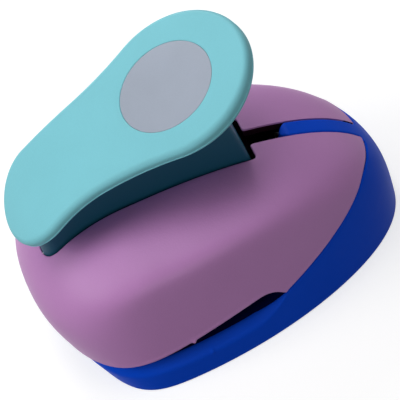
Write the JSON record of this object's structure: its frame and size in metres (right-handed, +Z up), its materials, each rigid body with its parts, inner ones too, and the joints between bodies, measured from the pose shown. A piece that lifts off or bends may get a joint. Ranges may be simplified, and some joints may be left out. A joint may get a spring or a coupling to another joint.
{
  "type": "circle craft punch",
  "caption": "Hand-held craft punch with a domed body, a paper slot and a paddle lever on a front hinge that drives a round sprung cutter through a die plate.",
  "frame": {"origin": "centre of the bounding box in plan, on the surface the punch stands on", "axes": "+Z up, -Y to the front where the lever's hinge is, +Y to the heel, +X to the right when seen from the front"},
  "size_m": [0.0678, 0.0982, 0.074],
  "materials": {
    "blue_plastic": "satin moulded",
    "violet_plastic": "satin moulded",
    "turquoise_plastic": "satin moulded",
    "grey_plastic": "satin",
    "black_plastic": "satin moulded",
    "plate_steel": "ground",
    "screw_steel": "plated"
  },
  "bodies": {
    "body": {"base": "blue_plastic", "upper_housing": "violet_plastic", "hinge_bracket": "plate_steel", "bracket_screws": "screw_steel", "hinge_pin": "plate_steel", "pin_clips": "screw_steel", "guide_plate": "plate_steel", "guide_posts": "plate_steel", "left_return_spring": "screw_steel", "right_return_spring": "screw_steel", "die_plate": "plate_steel", "throat_spacer": "plate_steel", "clamp_screws": "screw_steel", "die_screws": "screw_steel", "guide_screws": "screw_steel", "housing_screws": "screw_steel"},
    "lever_arm": {"lever": "turquoise_plastic", "lever_disc": "grey_plastic", "presser_pin": "plate_steel"},
    "punch": {"plunger": "black_plastic", "wear_pad": "plate_steel", "cutter": "plate_steel", "cutter_screws": "screw_steel"}
  },
  "joints": [
    {"name": "lever_press", "type": "hinge", "parent": "body", "child": "lever_arm", "pos_m": [0, -0.0362, 0.03], "axis": [-1, 0, 0], "range_deg": [0, 9], "stiffness_Nm_per_rad": 1.5, "springref_deg": -10.31},
    {"name": "punch_slide", "type": "slide", "parent": "body", "child": "punch", "axis": [0, 0, -1], "range_m": [0, 0.0034], "deforming": ["left_return_spring", "right_return_spring"]}
  ],
  "couplings": [
    {"joint": "punch_slide", "follows": "lever_press", "m_per_rad": 0.0215}
  ]
}
